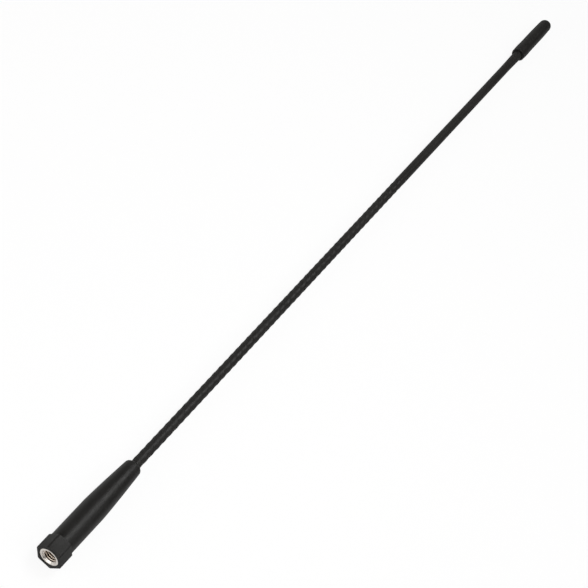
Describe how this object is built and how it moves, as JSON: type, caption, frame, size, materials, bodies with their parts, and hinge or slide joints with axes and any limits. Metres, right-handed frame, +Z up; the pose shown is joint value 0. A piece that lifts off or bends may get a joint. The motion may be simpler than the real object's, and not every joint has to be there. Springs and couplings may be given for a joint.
{
  "type": "car mast aerial",
  "caption": "Springy black car aerial: ribbed whip mast with a round-ended tip cap, a tapered grip with a hexagonal collar, and a threaded metal socket that screws on to a stud.",
  "frame": {"origin": "centre of the collar's end face, which seats on the car, on the threaded socket's axis", "axes": "+X along the mast from the socket to the tip, +Z up, normal to the collar's upper flat, +Y sideways to a corner of the hexagonal collar"},
  "size_m": [0.4226, 0.0116, 0.0102],
  "materials": {
    "grip_rubber": "satin black moulded rubber",
    "plated_metal": "nickel-plated, lightly turned",
    "solder": "dull solder",
    "glass_fibre": "pale resin with glass fibres along it",
    "copper": "enamelled copper",
    "jacket_plastic": "matte black sleeve drawn over the winding",
    "cap_plastic": "matte black moulding"
  },
  "bodies": {
    "root": {"base_boot": "grip_rubber", "threaded_ferrule": "plated_metal", "solder_joint": "solder", "core_rod": "glass_fibre", "radiator_wire": "copper", "mast_jacket": "jacket_plastic", "tip_cap": "cap_plastic"}
  },
  "joints": []
}
